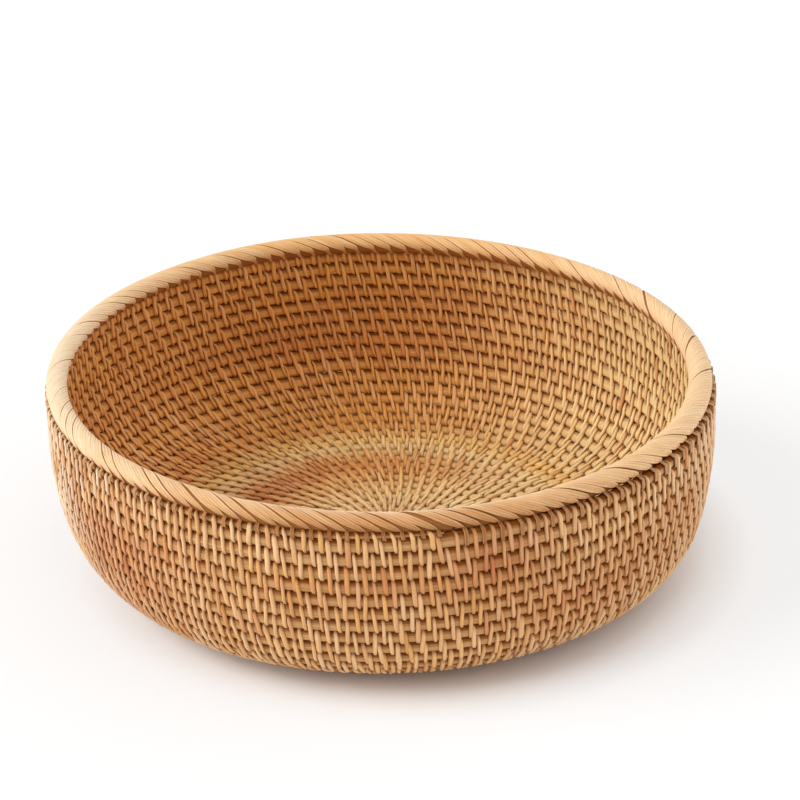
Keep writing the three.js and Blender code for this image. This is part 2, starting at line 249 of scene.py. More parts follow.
class Bowl:
    """The middle of the bowl's wall as a surface, and the spiral of rows on it.

    A point is given by its azimuth, its distance from the axis along the half section, and its
    lift, which is how far outside the middle of the wall it lies.
    """

    def __init__(self, sizes):
        bends = sizes.heel_sweep + sizes.corner_sweep + sizes.belly_sweep
        self.sizes = sizes
        self.arcs = (
            (sizes.heel_radius, sizes.heel_sweep),
            (sizes.corner_radius, sizes.corner_sweep),
            (sizes.belly_radius, sizes.belly_sweep),
            (sizes.side_radius, math.pi / 2 - bends),
        )
        bent = sum(radius * sweep for radius, sweep in self.arcs)
        self.length = sizes.floor_radius + bent + sizes.wall_height
        self.full_turns = self.length / sizes.row_pitch - 0.5
        self.sway = Wander(11, sizes.sway)
        self.bulge = Wander(12, sizes.bulge, (2, 3, 4, 7))

    def section(self, distance):
        """Radius, height and slope at distances along the half section.

        A flat run to the floor's radius, then for each arc of radius a from slope s to s + t the
        radius grows by a (sin(s + t) - sin s) and the height by a (cos s - cos(s + t)), then upright.
        """
        radius = np.minimum(distance, self.sizes.floor_radius)
        height = np.full_like(radius, self.sizes.wall_thickness / 2)
        turned = np.zeros_like(radius)
        slope = 0.0
        start = self.sizes.floor_radius
        for arc, sweep in self.arcs:
            turn = np.clip((distance - start) / arc, 0, sweep)
            radius = radius + arc * (np.sin(slope + turn) - math.sin(slope))
            height = height + arc * (math.cos(slope) - np.cos(slope + turn))
            turned += turn
            slope += sweep
            start += arc * sweep
        return radius, height + np.maximum(distance - start, 0), turned

    def point(self, azimuth, distance, lift):
        """Points of the wall: out along the section's normal by the lift, turned to the azimuth.

        The bulge and the swell add to the lift by the sine of the slope, so the floor stays flat.
        """
        radius, height, slope = self.section(np.maximum(distance + self.sway(azimuth, distance), 0))
        lift = lift + (self.bulge(azimuth, distance) + self.swell(azimuth, distance)) * np.sin(slope)
        radius = radius + lift * np.sin(slope)
        height = height - lift * np.cos(slope)
        return np.stack((radius * np.cos(azimuth), radius * np.sin(azimuth), height), axis=-1)

    def swell(self, azimuth, distance):
        """Extra lift on one side: s cos(a)^3 exp(-(d / spread)^2), a and d off the swelling's middle"""
        facing = held(np.cos(azimuth - self.sizes.swell_side))
        extent = ring(distance, self.sizes.swell_middle, self.sizes.swell_spread)
        return self.sizes.swell * facing**3 * extent

    def azimuth(self, turn):
        return self.sizes.coil_end + FULL_TURN * (turn - self.full_turns)

    def row(self, turn):
        """Bottom and top of the coil at a turn.

        The bottom climbs by one pitch a turn. In the last turn the row fills what is left under the rim.
        """
        azimuth = self.azimuth(turn)
        bottom = self.level(azimuth, self.sizes.row_pitch * (turn - 0.5))
        top = self.level(azimuth, self.sizes.row_pitch * (turn + 0.5))
        rim = self.length + self.sizes.rim_lift * np.cos(azimuth - self.sizes.rim_high)
        return bottom, top + (rim - top) * held((turn - self.full_turns) / TIP_EASE)

    def level(self, azimuth, even):
        """Where the edge of a row lies that would be at a distance if the rows were even.

        The rows dip towards their low side, less so near the axis. The top ones rise by a soft hump
        exp(-(a / spread)^2) beside the end of the coil.
        """
        sizes = self.sizes
        dip = sizes.row_dip * np.cos(azimuth - sizes.row_low) * held(even / sizes.floor_radius)
        hump = np.exp(-((angle_between(azimuth, sizes.rise_side) / sizes.rise_spread) ** 2))
        begun = held((even - sizes.rise_start) / sizes.rise_ease)
        return even - dip + sizes.row_rise * hump * begun


class RimPlace:
    """Places on the rim: out and up from the middle of the pole, in the leaning plane of the rim"""

    def __init__(self, bowl, sizes):
        high = bowl.sizes.rim_high
        wall_radius = bowl.section(np.array([bowl.length]))[0][0]
        lean = math.atan(bowl.sizes.rim_lift / wall_radius)
        hinge = Vector((math.sin(high), -math.cos(high), 0))
        self.sizes = sizes
        self.wall_out = wall_radius - sizes.radius
        self.turned = np.array(Matrix.Rotation(lean, 3, hinge))
        self.centre = np.array((sizes.offset, 0, sizes.height))
        self.sway = Wander(21, 0.00025, (2, 3, 5, 9))
        self.bulge = Wander(22, 0.00035, (2, 3, 4, 6))

    def point(self, azimuth, out, up):
        ones = np.ones_like(azimuth)
        radius = self.sizes.radius + out + self.bulge(azimuth, ones)
        height = up + self.sway(azimuth, ones)
        level = np.stack((radius * np.cos(azimuth), radius * np.sin(azimuth), height), axis=-1)
        return level @ self.turned.T + self.centre


def angle_between(first, second):
    """The first angle less the second, brought to within half a turn"""
    return np.angle(np.exp(1j * (first - second)))


def held(value):
    """The value kept between 0 and 1"""
    return np.clip(value, 0, 1)


def signed_power(value, exponent):
    return np.sign(value) * np.abs(value) ** exponent


def ring(distance, middle, spread):
    """exp(-(d / spread)^2) at d from the middle distance: a soft ring round the bowl"""
    return np.exp(-(((distance - middle) / spread) ** 2))


def summed(steps):
    """Sum of the steps up to each place, beginning with 0"""
    return np.concatenate(([0.0], np.cumsum(steps)))


def swept(name, rings, joined, attributes):
    """Mesh object of closed bodies, each swept through a run of rings.

    rings has a row of points for each ring. joined says of each ring but the last, or of all at
    once, whether it is joined to the next. A run's first and last rings are closed with a cap.
    attributes gives a number for each point.
    """
    count, sides = rings.shape[:2]
    joined = np.broadcast_to(joined, count - 1)
    corner = np.arange(count * sides).reshape(count, sides)
    following = np.roll(corner, -1, axis=1)
    start = np.flatnonzero(joined)
    around = (corner[start], following[start], following[start + 1], corner[start + 1])
    quads = np.stack(around, axis=-1).reshape(-1, 4)
    first = np.flatnonzero(~np.concatenate(([False], joined)))
    last = np.flatnonzero(~np.concatenate((joined, [False])))
    caps = np.concatenate((corner[first][:, ::-1], corner[last]))
    points = rings.reshape(-1, 3)
    a, b, c = (points[quads[:, k]] for k in range(3))
    if np.einsum("ij,ij->", a, np.cross(b, c)) < 0:
        quads = quads[:, ::-1]
        caps = caps[:, ::-1]
    corners = np.concatenate((quads.ravel(), caps.ravel()))
    starts = summed(np.repeat((4, sides), (len(quads), len(caps))))[:-1]
    mesh = bpy.data.meshes.new(name)
    mesh.vertices.add(len(points))
    mesh.vertices.foreach_set("co", points.ravel())
    mesh.loops.add(len(corners))
    mesh.loops.foreach_set("vertex_index", corners.astype(np.int32))
    mesh.polygons.add(len(starts))
    mesh.polygons.foreach_set("loop_start", starts.astype(np.int32))
    mesh.polygons.foreach_set("use_smooth", np.arange(len(starts)) < len(quads))
    mesh.update(calc_edges=True)
    for label, values in attributes.items():
        layer = mesh.attributes.new(label, "FLOAT", "POINT")
        spread = np.broadcast_to(values, (count, sides)).astype(np.float32)
        layer.data.foreach_set("value", spread.ravel())
    obj = bpy.data.objects.new(name, mesh)
    bpy.context.scene.collection.objects.link(obj)
    return obj


def band(path, azimuth, half_width, thickness, outline, side):
    """Rings of a thin band carried along a path in the upright plane.

    A ring's point is the path's point plus side * thickness * up along the path's normal, and its
    azimuth is the path's plus half_width * across, for each (across, up) of the outline.
    """
    direction = np.gradient(path, axis=0)
    direction /= np.maximum(np.linalg.norm(direction, axis=1, keepdims=True), 1e-9)
    normal = side * np.stack((-direction[:, 1], direction[:, 0]), axis=1)
    across, up = outline.T
    raised = (thickness[:, None] * up)[..., None]
    place = path[:, None, :] + normal[:, None, :] * raised
    turn = azimuth[:, None] + half_width[:, None] * across
    return turn, place[..., 0], place[..., 1]


def path_length(points):
    """Length run along the middle points of a row of rings"""
    return summed(np.linalg.norm(np.diff(points.mean(axis=1), axis=0), axis=1))


# Stained patches: azimuth in degrees, distance along the half section, spread of each, strength
STAINS = (
    (-72, 0.196, 9, 0.012, 0.75),
    (-58, 0.165, 16, 0.014, 0.60),
    (-35, 0.175, 14, 0.016, 0.45),
    (-140, 0.172, 15, 0.022, 0.75),
    (-150, 0.138, 20, 0.012, 0.55),
    (-90, 0.184, 24, 0.010, 0.40),
    (90, 0.162, 22, 0.011, 0.45),
    (80, 0.181, 18, 0.009, 0.40),
    (112, 0.168, 14, 0.008, 0.35),
    (-88, 0.115, 34, 0.006, 0.40),
    (-35, 0.128, 30, 0.010, 0.35),
)

# Rings of the floor: distance from the axis, spread
STAINED_RING = (0.069, 0.0095)
CREAM_RING = (0.0885, 0.0055)
PALE_RING = (0.093, 0.011)
GOLDEN_RING = (0.0985, 0.0055)
CENTRE_RADIUS = 0.055


def stain(azimuth, distance):
    """Share of red-brown stain, in a ring on the floor, strongest on the left, and in soft patches.

    A patch is exp(-(a / spread)^2) round its azimuth times a ring at its distance.
    """
    share = 0.90 * ring(distance, *STAINED_RING) * (0.5 - 0.5 * np.cos(azimuth))
    for side, middle, width, height, strength in STAINS:
        off = np.degrees(angle_between(azimuth, math.radians(side)))
        share = share + strength * np.exp(-((off / width) ** 2)) * ring(distance, middle, height)
    return held(share)


def painted_side_light(azimuth):
    """Share of pale strip as painted light: the lit left side painted paler, and the right side less"""
    return np.cos(azimuth) ** 2 * (0.8 - 0.2 * np.cos(azimuth))


def shade(azimuth, distance):
    """Share of inside amber: painted light removes it on the lit right side; less on the floor's pale
    parts
    """
    side = 1 - 0.95 * held(np.cos(azimuth)) ** 1.5
    return side * (1 - 0.7 * ring(distance, *PALE_RING) - 0.6 * centre(distance))


def centre(distance):
    """1 in the middle of the floor, falling to nothing over its inner half"""
    return np.exp(-((distance / CENTRE_RADIUS) ** 4))


def inner_tones(inside, azimuth, distance):
    """Shares of amber, of paler strip and of a golden ring, inner face only; the right side's paleness
    is painted light
    """
    amber = shade(azimuth, distance)
    golden = ring(distance, *GOLDEN_RING)
    return {"inner": inside * amber, "worn": inside * (1 - amber), "gold": inside * golden}


def settle(obj, material, nodes=()):
    """Gives a finished piece its material and its part in the frame."""
    obj.data.materials.append(material)
    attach(obj, "root")
    if nodes:
        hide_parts(*nodes)


# Foundation canes


CANE_SIDES = 14
CANE_RINGS_PER_TURN = 144
SCARF_EASE = 0.0015
COIL_OVERRUN = 0.994  # turns of cane above the last full one


def cane_joints(bowl, canes, last_turn):
    """Turns at which one length of cane ends and the next begins, for canes of equal length"""
    turns = np.linspace(bowl.sizes.coil_start, last_turn, 4000)
    radius = bowl.section(bowl.sizes.row_pitch * turns)[0]
    run = summed((radius[1:] + radius[:-1]) / 2)
    return np.interp(np.linspace(0, run[-1], canes + 1), run, turns)


def scarf_limit(sizes, run):
    """Highest y of a scarfed section, for the length run from the cane's tip: slow, then all at once"""
    lap = sizes.scarf_length
    return np.interp(run, (0, lap, lap + SCARF_EASE), (-0.8, 0.65, 1.0))[:, None]


def cane_rings(bowl, sizes, first, last, scarf_start, scarf_end):
    """Rings of one cane of the coil and the numbers its material reads.

    The section is the superellipse |x|^n + |y|^n = 1, with x along the wall and y through it. In a
    scarf y is held under a rising limit at the cane's start and over one at its end.
    """
    count = int((last - first) * CANE_RINGS_PER_TURN) + 2
    turn = np.linspace(first, last, count)
    bottom, top = bowl.row(turn)
    middle = ((top + bottom) / 2)[:, None]
    half_row = (top - bottom - sizes.gap) / 2
    full_row = (bowl.sizes.row_pitch - sizes.gap) / 2
    radius = bowl.section(middle[:, 0])[0]
    run = summed(np.diff(turn) * FULL_TURN * (radius[1:] + radius[:-1]) / 2)
    around = (np.arange(CANE_SIDES) + 0.5) * FULL_TURN / CANE_SIDES
    along_wall = signed_power(np.cos(around), 2 / sizes.squareness)
    through = signed_power(np.sin(around), 2 / sizes.squareness) * np.ones((count, 1))
    if scarf_start:
        through = np.minimum(through, scarf_limit(sizes, run))
    if scarf_end:
        through = np.maximum(through, -scarf_limit(sizes, run[-1] - run))
    half_thick = sizes.thickness / 2 * np.minimum(0.5 + 0.5 * half_row / full_row, 1)
    azimuth = bowl.azimuth(turn)[:, None]
    uneven = 1.022 + 0.02 * np.sin(7.3 * azimuth) + 0.015 * np.sin(17.1 * azimuth)
    distance = middle + half_row[:, None] * uneven * along_wall
    lift = half_thick[:, None] * through * (1 - sizes.overhang * along_wall)
    rings = bowl.point(azimuth, distance, lift)
    upper = held(along_wall)
    lower = held(-along_wall)
    inside = held(0.3 - 2 * through)
    numbers = {
        "along": run[:, None],
        "across": around * sizes.thickness / 2,
        # Painted shade: each cane darker at its top under the row above and at its foot, less on the lit
        # left side
        "sunk": (1.4 * upper**1.3 + 0.6 * lower**5) * (1 - 0.35 * held(-np.cos(azimuth))),
        "red": stain(azimuth, middle),
        **inner_tones(inside, azimuth, middle),
    }
    return rings, numbers


class BASKET_OT_canes(Operator):
    """Make the foundation canes of the coil"""

    bl_idname = "basket.canes"
    bl_label = "Foundation canes"

    def execute(self, context):
        bowl = Bowl(context.scene.basket_bowl)
        sizes = context.scene.basket_cane
        nodes = sorted(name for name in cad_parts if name.startswith("coil_cane"))
        turns = cane_joints(bowl, len(nodes), bowl.full_turns + COIL_OVERRUN)
        material = cane_finish(context.scene.basket_finish)
        tones = np.random.default_rng(31).uniform(0.2, 0.8, len(nodes))
        radius = bowl.section(bowl.sizes.row_pitch * turns[1:])[0]
        ends = turns[1:] + sizes.scarf_length / (FULL_TURN * radius)
        ends[-1] = turns[-1]
        for index, node in enumerate(nodes):
            scarfs = index > 0, index + 1 < len(nodes)
            rings, numbers = cane_rings(bowl, sizes, turns[index], ends[index], *scarfs)
            numbers["tone"] = tones[index]
            cane = swept(f"foundation_cane_{index + 1}", rings, True, numbers)
            settle(cane, material, [node])
        return {"FINISHED"}


# Binding stitches


FIRST_STITCH = 1.02  # turn of the coil
STITCH_OVERRUN = 0.99  # turns above the last full one
HALVED_END = 0.10  # distance at which the rows' stitches no longer stand half a spacing on
HALVED_EASE = 0.04
STITCH_RINGS = 16
STITCH_OUTLINE = np.array(((-1.0, 0.0), (-0.65, 0.8), (0.0, 1.05), (0.65, 0.8), (1.0, 0.0)))
SLANT_SCATTER = 0.045  # in spacings
REACH_SCATTER = 0.022  # as a share of the reach
WIDTH_SCATTER = 0.12  # as a share of the width
WIDEST = 0.9 / 1.4  # in spacings
NEAREST = 0.0008  # distance from the axis


def stitch_turns(bowl, sizes):
    """Turn and stitches per turn of every stitch, at the gap line that the stitch straddles.

    Stitches per turn are 2 pi r / spacing, where the spacing grows in proportion to the radius out
    to the even radius, and are even from there on. Each stitch is drawn part of the way from an
    even step to the place beside the nearest stitch of the row below, which is half a spacing from
    it on the floor and the lag behind it on the wall.
    """
    draw = np.random.default_rng(45)
    last = bowl.full_turns + STITCH_OVERRUN
    turns = np.linspace(0, last, 6000)
    radius = bowl.section(np.maximum(bowl.sizes.row_pitch * (turns - 0.5), 0))[0]
    even = FULL_TURN * sizes.even_radius / sizes.stitches
    spacing = sizes.inner_spacing + (even - sizes.inner_spacing) * radius / sizes.even_radius
    steps = 1 / np.clip(FULL_TURN * radius / spacing, 5, sizes.stitches)
    placed = [FIRST_STITCH]
    below = 0
    while placed[-1] < last:
        step = steps[int(placed[-1] / last * (len(steps) - 1))]
        turn = placed[-1] + step
        if placed[0] + 1 < turn:
            flat = held((HALVED_END - bowl.sizes.row_pitch * turn) / HALVED_EASE)
            side = 1 - (sizes.lag + (0.5 - sizes.lag) * flat) * step
            while placed[below + 1] + side < turn:
                below += 1
            near = min(placed[below] + side, placed[below + 1] + side, key=lambda at: abs(at - turn))
            turn += sizes.pull * (near - turn)
        placed.append(turn + step * sizes.unevenness * draw.normal())
    placed = np.array(placed[:-1])
    return placed, 1 / np.interp(placed, turns, steps)


def stitch_rings(bowl, sizes, turn, per_turn, ripeness, redness, seed):
    """Rings of a run of stitches, one loop after another, and the numbers the finish reads.

    A loop is the superellipse of exponent 4 round two rows, seen in the upright plane: up to the
    gap above, over the outer face, through the gap below and back up the inner face. On the way it
    moves on round the wall by one spacing, little outside and more inside.
    """

    def on_rings(values):
        return np.repeat(values, STITCH_RINGS)[:, None]

    draw = np.random.default_rng(seed)
    count = len(turn)
    loop = np.arange(STITCH_RINGS) * FULL_TURN / STITCH_RINGS
    eighth = math.pi / 8
    lean = sizes.slant / 2
    advance = np.interp(
        loop,
        (0, eighth, 7 * eighth, 9 * eighth, 15 * eighth, FULL_TURN),
        (-lean - 0.08, -lean, lean, lean + 0.17, 0.84 - lean, 0.92 - lean),
    )
    reach = signed_power(np.cos(loop), 0.5)
    bow = signed_power(np.sin(loop), 0.5) * (1 - 0.10 * held(1 - np.abs(reach) / 0.6))
    slant = draw.normal(0, SLANT_SCATTER, count)
    tightness = 1 + draw.normal(0, REACH_SCATTER, count)
    at = turn[:, None] + (advance - slant[:, None] * reach) / per_turn[:, None]
    azimuth = bowl.azimuth(at)
    gap_line, above = bowl.row(at)
    below = bowl.row(at - 1)[0]
    span = np.where(reach > 0, above - gap_line, gap_line - below)
    distance = np.maximum(gap_line + reach * span, NEAREST)
    lift = sizes.reach * bow * tightness[:, None]
    path = np.stack((distance.ravel(), lift.ravel()), axis=1)
    radius = bowl.section(distance)[0]
    width = sizes.width * (1 + draw.normal(0, WIDTH_SCATTER, count))[:, None]
    width = width * (1 - 0.22 * np.abs(reach) ** 8)
    width = np.minimum(width, WIDEST * FULL_TURN * radius / per_turn[:, None])
    half_width = (width / 2 / radius).ravel()
    thickness = np.tile(sizes.thickness * (1 - 0.45 * np.abs(reach) ** 10), count)
    outline = STITCH_OUTLINE[:, 0]
    azimuth, distance, lift = band(path, azimuth.ravel(), half_width, thickness, STITCH_OUTLINE, -1)
    rings = bowl.point(azimuth, distance, lift)
    tone = draw.normal(0.08, 0.30, count)
    chance = on_rings(draw.uniform(0, 1, count))
    middle = on_rings(gap_line[:, 0])
    stained = stain(on_rings(azimuth[::STITCH_RINGS, 0]), middle) * (0.35 + 0.9 * chance)
    reddest = 0.5 * held(1 - chance / 0.2)
    inside = np.tile(held(-2 * bow - 0.4), count)[:, None]
    # The side share is painted light: stitches on the lit sides are painted paler; chance gives each its
    # own tone
    pale = (0.06 + 0.86 * painted_side_light(azimuth[:, :1])) * (0.5 + chance)
    pale = pale + 0.6 * ring(middle, *CREAM_RING) + 0.3 * centre(middle)
    numbers = {
        "along": path_length(rings)[:, None],
        "across": (half_width * radius.ravel())[:, None] * outline,
        "edge": outline,
        # Painted shade where a stitch dips into the gaps between rows
        "sunk": np.tile(np.abs(reach) ** 6, count)[:, None],
        "pale": np.minimum(pale, 1 - 0.4 * inside),
        "tone": held(on_rings(tone + ripeness)),
        "red": held(on_rings(redness) + stained + reddest),
        **inner_tones(inside, azimuth[:, :1], middle),
    }
    return rings, numbers


def strip_runs(count, usual, seed):
    """Number of the strip that each stitch is sewn with, for strips of uneven length"""
    draw = np.random.default_rng(seed)
    lengths = draw.integers(int(usual * 0.75), int(usual * 1.25), count // 10)
    return np.searchsorted(np.cumsum(lengths), np.arange(count), side="right")


class BASKET_OT_binding(Operator):
    """Make the binding strips that sew the rows together"""

    bl_idname = "basket.binding"
    bl_label = "Binding stitches"

    def execute(self, context):
        bowl = Bowl(context.scene.basket_bowl)
        sizes = context.scene.basket_binding
        turn, per_turn = stitch_turns(bowl, sizes)
        strip = strip_runs(len(turn), sizes.strip_stitches, 41)
        draw = np.random.default_rng(42)
        ripeness = draw.normal(0.35, 0.20, strip[-1] + 1)
        redness = held(draw.normal(-0.02, 0.18, strip[-1] + 1))
        material = strip_finish(context.scene.basket_finish)
        names = np.array(("floor", "floor", "corner", "side", "side", "wall"))
        labels = names[strip * len(names) // (strip[-1] + 1)]
        for label in dict.fromkeys(names):
            chosen = labels == label
            owner = strip[chosen]
            looks = ripeness[owner], redness[owner]
            seed = 43 + len(label)
            rings, numbers = stitch_rings(bowl, sizes, turn[chosen], per_turn[chosen], *looks, seed)
            owner = np.repeat(owner, STITCH_RINGS)
            piece = swept(f"binding_{label}", rings, owner[1:] == owner[:-1], numbers)
            settle(piece, material)
        return {"FINISHED"}


# Rim


def pole_section(sizes, around):
    """Out and up on the pole's ellipse at an angle round it, deeper by the keel below the middle"""
    out = (sizes.width - sizes.strip_thickness) * np.cos(around)
    up = (sizes.depth - sizes.strip_thickness) * np.sin(around)
    return out, np.where(up < 0, up * sizes.keel, up)


class BASKET_OT_rim_pole(Operator):
    """Make the pole bent into a ring"""

    bl_idname = "basket.rim_pole"
    bl_label = "Rim pole"

    def execute(self, context):
        bowl = Bowl(context.scene.basket_bowl)
        sizes = context.scene.basket_rim
        place = RimPlace(bowl, sizes)
        sides = 20
        count = 145
        gap = 0.002
        turn = bowl.sizes.coil_end + np.linspace(gap, FULL_TURN - gap, count)
        around = np.arange(sides) * FULL_TURN / sides
        section = pole_section(sizes, around)
        rings = place.point(np.broadcast_to(turn[:, None], (count, sides)), *section)
        numbers = {"along": (turn * sizes.radius)[:, None], "across": around * sizes.width, "tone": 0.5}
        pole = swept("pole", rings, True, numbers)
        settle(pole, pole_finish(context.scene.basket_finish), ["rim_pole"])
        return {"FINISHED"}


# A rim strip's section as (across, up), right half and whole: three ridges with two fine grooves
RIM_HALF = np.array(((0.24, 0.8), (0.33, 0.4), (0.42, 0.8), (0.62, 1.0), (0.87, 0.85), (1.0, 0.0)))
RIM_OUTLINE = np.concatenate((RIM_HALF[::-1] * (-1, 1), [(0.0, 1.0)], RIM_HALF))
RIM_RIDGE = [0] * 5 + [1] * 3 + [2] * 5  # the ridge that each point is on

WRAP_RINGS = 30
WRAP_SHARE = 1.07  # widest, in spacings
BEND_OUT = 0.0011  # bends of a tie
BEND_UP = 0.0007
UNDER_TOP = 0.0003  # from the wall's top down to a tie's start
UNDER_POLE = 0.0002  # from the pole down to its end
TIE_ON = (0.08, 0.16, 0.22, 0.26, 0.32, 0.38, 0.46, 0.62, 0.84)  # of the advance, for each ring


def rim_wraps(place, sizes, tie, depth):
    """Wraps of a rim strip: how far each point is out, up and on, and its share of the spacing.

    From its inner foot a wrap winds evenly over the pole's ellipse to its outer foot, narrow at both.
    From there it is a narrow tie, out to the face of the wall, down over the top row, through the
    gap under it and back up inside. On the right the wraps reach farther out, and at the front they
    are narrower and taper over a longer way. Columns are wraps, rows the points of a wrap.
    """
    wraps = np.ones(len(tie))
    around = np.linspace(sizes.inner_seat, sizes.outer_foot, WRAP_RINGS)[:, None]
    start = sizes.tie_advance - sizes.strands
    turned = (sizes.outer_foot, sizes.inner_foot, sizes.inner_seat)
    moved = np.interp(around, turned, (0, start + 0.25, start))
    pole_out, pole_up = pole_section(sizes, around)
    wall = place.wall_out - sizes.offset * np.cos(tie)
    outer = wall + sizes.tie_reach
    inner = wall - sizes.tie_reach
    top = -(sizes.seat + UNDER_TOP) * wraps
    keel = (pole_section(sizes, -math.pi / 2)[1] - UNDER_POLE) * wraps
    bend = depth + BEND_UP
    tie_out = (outer, outer, outer, outer - BEND_OUT, wall, inner + BEND_OUT, inner, inner, inner)
    tie_up = (top, (top + depth) / 2, bend, depth, depth, depth, bend, (keel + depth) / 2, keel)
    spread = sizes.spread * held(np.cos(around)) ** 2 * held(np.cos(tie))
    out = np.concatenate((pole_out + spread, np.stack(tie_out)))
    up = np.concatenate((pole_up * wraps, np.stack(tie_up)))
    on = np.concatenate((moved, sizes.tie_advance * np.array(TIE_ON)[:, None]))
    front = held(-np.sin(tie))
    taper = sizes.taper + sizes.front_taper * front**2
    ends = np.minimum((sizes.inner_foot - around) / sizes.taper, (around - sizes.outer_foot) / taper)
    loose = WRAP_SHARE - sizes.slack * front**3
    wide = sizes.tie_share + (loose - sizes.tie_share) * np.sin(held(ends) * math.pi / 2)
    share = np.concatenate((wide, sizes.tie_share * np.ones((len(tie_out), len(tie)))))
    return out, up, on * wraps, share


class BASKET_OT_rim_strips(Operator):
    """Make the strips wound round the rim, each tying down the top row as it goes"""

    bl_idname = "basket.rim_strips"
    bl_label = "Rim strips"

    def execute(self, context):
        bowl = Bowl(context.scene.basket_bowl)
        sizes = context.scene.basket_rim
        binding = context.scene.basket_binding
        turns = stitch_turns(bowl, binding)[0]
        sewn = turns[turns > bowl.full_turns] - bowl.full_turns
        step = (sewn[-1] - sewn[0]) / (len(sewn) - 1)
        beside = np.concatenate((sewn, np.arange(sewn[-1] + step, 1, step))) - binding.lag * step
        spacing = FULL_TURN * step
        place = RimPlace(bowl, sizes)
        material = strip_finish(context.scene.basket_finish)
        nodes = sorted(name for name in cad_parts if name.startswith("rim_strip"))
        groove = 1 - RIM_OUTLINE[:, 1]
        draw = np.random.default_rng(51)
        for strand in range(sizes.strands):
            passed = beside[strand :: sizes.strands]
            tie = bowl.sizes.coil_end + FULL_TURN * passed
            bottom, top = bowl.row(bowl.full_turns + passed)
            out, up, on, share = rim_wraps(place, sizes, tie, -sizes.seat - (top - bottom))
            points, wraps = out.shape
            on = on + draw.normal(0, 0.05, wraps)
            half = (spacing / 2 * share * (1 + draw.normal(0, 0.02, wraps))).T.ravel()
            crown = np.full(points * wraps, sizes.strip_thickness)
            path = np.stack((out.T.ravel(), up.T.ravel()), axis=1)
            azimuth = (tie + spacing * on).T.ravel()
            turn, ring_out, ring_up = band(path, azimuth, half, crown, RIM_OUTLINE, 1)
            rings = place.point(turn, ring_out, ring_up)
            chance = np.repeat(draw.uniform(0, 1, (wraps, 3)), points, axis=0)[:, RIM_RIDGE]
            tone = np.repeat(draw.normal(0.0, 0.26, (wraps, 3)), points, axis=0)[:, RIM_RIDGE]
            tied = np.tile(held(1 - share[:, :1]) / (1 - sizes.tie_share), (wraps, 1))
            # Painted light and shade: the rim is painted paler on its lit sides and more golden at the
            # front and back
            golden_share = 0.80 * (1 - painted_side_light(turn[:, :1]))
            front = held(-np.sin(turn[:, :1])) ** 4
            inward = held(0.5 - 0.5 * ring_out[:, :1] / sizes.width)
            # Painted shade: the rim's front is darker and redder on its outer side
            shaded = front * (1 - inward)
            # Painted shade in the fine grooves between a strip's ridges, deeper where the rim is golden
            # and at the front
            groove_shade = groove**2 * (0.2 + 0.5 * golden_share + 0.5 * front)
            numbers = {
                "along": path_length(rings)[:, None],
                "across": (half * sizes.radius)[:, None] * RIM_OUTLINE[:, 0],
                "edge": groove,
                # Painted shade on the ties under the rim, on the front's outer side and in the grooves
                "sunk": 0.35 * tied**2 + 0.32 * shaded + groove_shade,
                "tone": held(tone + golden_share + 0.3 * tied),
                # Paler on the lit sides, and a painted highlight along the rim's inner side at the front
                "pale": 0.80 * (1 - golden_share) + 1.4 * front * inward**1.5,
                # Red-brown on the ties is their own tone; on the shaded front it is painted shade
                "red": tied * (0.05 + 0.35 * chance) + (0.15 + 0.4 * chance) * shaded,
                **dict.fromkeys(("inner", "worn", "gold"), 0.0),
            }
            piece = swept(f"rim_wrap_{strand + 1}", rings, True, numbers)
            settle(piece, material, [nodes[strand]])
        return {"FINISHED"}


# Finishes


class Sum:
    """A shader socket that takes part in sums"""

    def __init__(self, shades, socket):
        self.shades = shades
        self.socket = socket

    def _sum(self, operation, first, second):
        return self.shades.node("ShaderNodeMath", {"operation": operation}, {0: first, 1: second})

    def __add__(self, other):
        return self._sum("ADD", self, other)

    def __mul__(self, other):
        return self._sum("MULTIPLY", self, other)

    def __sub__(self, other):
        return self._sum("SUBTRACT", self, other)

    def __rsub__(self, other):
        return self._sum("SUBTRACT", other, self)

    __radd__ = __add__

    def held(self):
        """The value kept between 0 and 1"""
        return self.shades.node("ShaderNodeClamp", {}, {0: self})


class Shades:
    """Builds the node tree of one material."""

    def __init__(self, name):
        self.material = bpy.data.materials.new(name)
        self.material.use_nodes = True
        self.tree = self.material.node_tree
        self.tree.nodes.clear()

    def node(self, kind, settings, sockets, out=0):
        """Adds a node of a kind, applies its settings and fills its sockets with numbers or links."""
        node = self.tree.nodes.new(kind)
        for key, value in settings.items():
            setattr(node, key, value)
        for key, value in sockets.items():
            if isinstance(value, Sum):
                self.tree.links.new(value.socket, node.inputs[key])
            else:
                node.inputs[key].default_value = value
        return Sum(self, node.outputs[out]) if node.outputs else None

    def reading(self, name):
        return self.node("ShaderNodeAttribute", {"attribute_name": name}, {}, "Fac")

    def layered(self, base, *layers):
        """Base colour with tints laid over it in turn, each by its share"""
        base = opaque(base)
        for share, tint in layers:
            sockets = {0: share, 6: base, 7: opaque(tint)}
            base = self.node("ShaderNodeMix", {"data_type": "RGBA"}, sockets, 2)
        return base

    def noise(self, vector, scale, detail):
        return self.node("ShaderNodeTexNoise", {}, {"Vector": vector, "Scale": scale, "Detail": detail})

    def finish(self, base, roughness, shine, height, strength, distance):
        """Plain rattan surface: base colour, roughness, shine and fibres as a bump."""
        relief = {"Height": height, "Strength": strength, "Distance": distance}
        bump = self.node("ShaderNodeBump", {}, relief)
        looks = {"Base Color": base, "Roughness": roughness, "Specular IOR Level": shine, "Normal": bump}
        shader = self.node("ShaderNodeBsdfPrincipled", {}, looks)
        self.node("ShaderNodeOutputMaterial", {}, {"Surface": shader})
        return self.material


def opaque(rgb):
    return (*rgb, 1.0)


